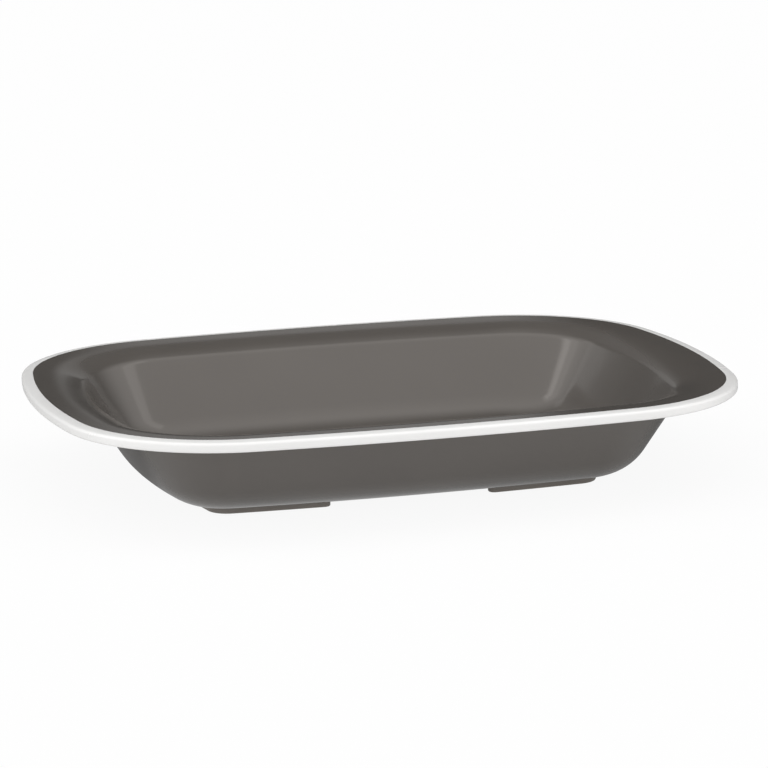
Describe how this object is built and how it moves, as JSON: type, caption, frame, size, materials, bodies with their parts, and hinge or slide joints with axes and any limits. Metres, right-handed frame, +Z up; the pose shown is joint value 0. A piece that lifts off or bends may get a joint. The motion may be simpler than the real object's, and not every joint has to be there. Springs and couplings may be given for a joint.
{
  "type": "rectangular serving dish",
  "caption": "Oblong serving dish with rounded corners, sloping walls, a gently curved flange with a white rim band, and low corner feet.",
  "frame": {"origin": "middle of the dish on the table plane, under the four feet", "axes": "+X along the length of the dish, +Y across it towards the back, +Z up"},
  "size_m": [0.28, 0.211, 0.0416],
  "materials": {
    "grey_gloss": "moulded melamine, smooth and glossy, warm dark grey",
    "white_rim": "moulded melamine, smooth and glossy, white"
  },
  "bodies": {
    "root": {"dish_shell": "grey_gloss", "rim_band": "white_rim", "foot_front_left": "grey_gloss", "foot_front_right": "grey_gloss", "foot_back_left": "grey_gloss", "foot_back_right": "grey_gloss"}
  },
  "joints": []
}
